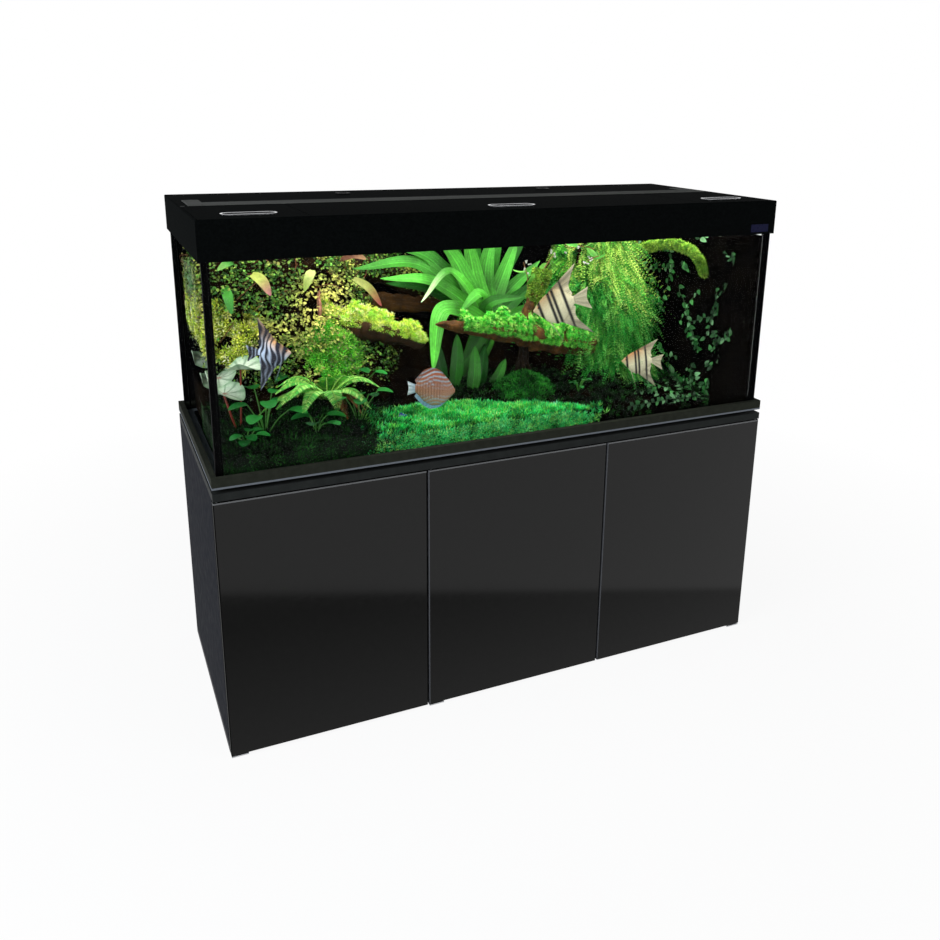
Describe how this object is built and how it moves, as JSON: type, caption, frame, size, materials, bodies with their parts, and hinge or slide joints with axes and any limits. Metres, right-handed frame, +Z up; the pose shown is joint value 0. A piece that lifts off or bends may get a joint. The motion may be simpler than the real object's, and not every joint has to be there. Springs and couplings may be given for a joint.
{
  "type": "aquarium on stand",
  "caption": "Long planted glass aquarium with a black lidded light hood, standing on a gloss black cupboard with push-open doors.",
  "frame": {"origin": "floor level under the middle of the stand", "axes": "+Z up, front faces -Y, +X along the front to the right"},
  "size_m": [1.5, 0.6, 1.2745],
  "materials": {
    "door_gloss": "high-gloss black lacquer on board",
    "stand_board": "satin dark grey lacquer on board",
    "inner_board": "matt black melamine board",
    "dowel": "plain turned wood",
    "steel": "zinc-plated",
    "black_plastic": "fine-grained black plastic",
    "soft_black": "matt black",
    "glass": "clear float glass",
    "trim": "satin black",
    "hood_black": "satin black",
    "rail_grey": "brushed grey",
    "pull_chrome": "polished",
    "badge": "dark blue, blank",
    "lamp_housing": "anodised",
    "lamp_board": "white",
    "lamp_lens": "clear diffuser",
    "sponge": "open-cell foam",
    "bed": "dark planting soil and moss",
    "stone": "mossed stone",
    "earth": "dark root and earth",
    "driftwood": "waterlogged driftwood with moss",
    "leaf": "green leaf"
  },
  "bodies": {
    "stand_and_tank": {"stand_sides": "stand_board", "stand_dividers": "inner_board", "top_dowels": "dowel", "shelf_pins": "steel", "shelf": "inner_board", "stand_back": "inner_board", "port_bushes": "black_plastic", "glides": "black_plastic", "stand_base": "inner_board", "stand_top": "stand_board", "door_pivots": "steel", "screws": "steel", "latch_bodies": "black_plastic", "foam_mat": "soft_black", "pane_base": "glass", "panes_long": "glass", "panes_side": "glass", "rear_film": "soft_black", "silicone_beads": "soft_black", "glass_braces": "glass", "base_trim": "trim", "filter_case": "black_plastic", "filter_sponge": "sponge", "filter_pump": "black_plastic", "equipment_clips": "soft_black", "heater_tube": "glass", "heater_cap": "black_plastic", "end_wall": "earth", "stone_hills": "stone", "log": "driftwood", "strap_plant": "leaf", "small_plants": "leaf", "planting_bed": "bed"},
    "hood": {"hood_walls": "hood_black", "hood_frame": "hood_black", "hinge_rail": "rail_grey", "hood_deck": "hood_black", "cable_bushes": "black_plastic", "hinge_blocks": "rail_grey", "lid_pins": "steel", "light_housing": "lamp_housing", "light_board": "lamp_board", "light_lens": "lamp_lens", "badge_plate": "badge"},
    "lid_left": {"lid_left": "hood_black", "lid_left_pull_ring": "pull_chrome"},
    "lid_centre": {"lid_centre": "hood_black", "lid_centre_pull_ring": "pull_chrome"},
    "lid_right": {"lid_right": "hood_black", "lid_right_pull_ring": "pull_chrome"},
    "door_left": {"door_left": "door_gloss", "door_left_fittings": "steel"},
    "door_middle": {"door_middle": "door_gloss", "door_middle_fittings": "steel"},
    "door_right": {"door_right": "door_gloss", "door_right_fittings": "steel"},
    "plunger_left": {"plunger_left": "black_plastic"},
    "plunger_middle": {"plunger_middle": "black_plastic"},
    "plunger_right": {"plunger_right": "black_plastic"}
  },
  "joints": [
    {"name": "hood_lift", "type": "slide", "parent": "stand_and_tank", "child": "hood", "axis": [0, 0, 1], "range_m": [0, 0.25]},
    {"name": "lid_left_hinge", "type": "hinge", "parent": "hood", "child": "lid_left", "pos_m": [-0.622, -0.0155, 1.2682], "axis": [-1, 0, 0], "range_deg": [0, 100]},
    {"name": "lid_centre_hinge", "type": "hinge", "parent": "hood", "child": "lid_centre", "pos_m": [0, -0.0155, 1.2682], "axis": [-1, 0, 0], "range_deg": [0, 100]},
    {"name": "lid_right_hinge", "type": "hinge", "parent": "hood", "child": "lid_right", "pos_m": [0.622, -0.0155, 1.2682], "axis": [-1, 0, 0], "range_deg": [0, 100]},
    {"name": "door_left_hinge", "type": "hinge", "parent": "stand_and_tank", "child": "door_left", "pos_m": [-0.741, -0.291, 0.3345], "axis": [0, 0, -1], "range_deg": [0, 105]},
    {"name": "door_middle_hinge", "type": "hinge", "parent": "stand_and_tank", "child": "door_middle", "pos_m": [-0.23967, -0.291, 0.3345], "axis": [0, 0, -1], "range_deg": [0, 90]},
    {"name": "door_right_hinge", "type": "hinge", "parent": "stand_and_tank", "child": "door_right", "pos_m": [0.741, -0.291, 0.3345], "axis": [0, 0, 1], "range_deg": [0, 105]},
    {"name": "plunger_left_push", "type": "slide", "parent": "stand_and_tank", "child": "plunger_left", "axis": [0, 1, 0], "range_m": [0, 0.004], "stiffness_N_per_m": 400},
    {"name": "plunger_middle_push", "type": "slide", "parent": "stand_and_tank", "child": "plunger_middle", "axis": [0, 1, 0], "range_m": [0, 0.004], "stiffness_N_per_m": 400},
    {"name": "plunger_right_push", "type": "slide", "parent": "stand_and_tank", "child": "plunger_right", "axis": [0, 1, 0], "range_m": [0, 0.004], "stiffness_N_per_m": 400}
  ]
}
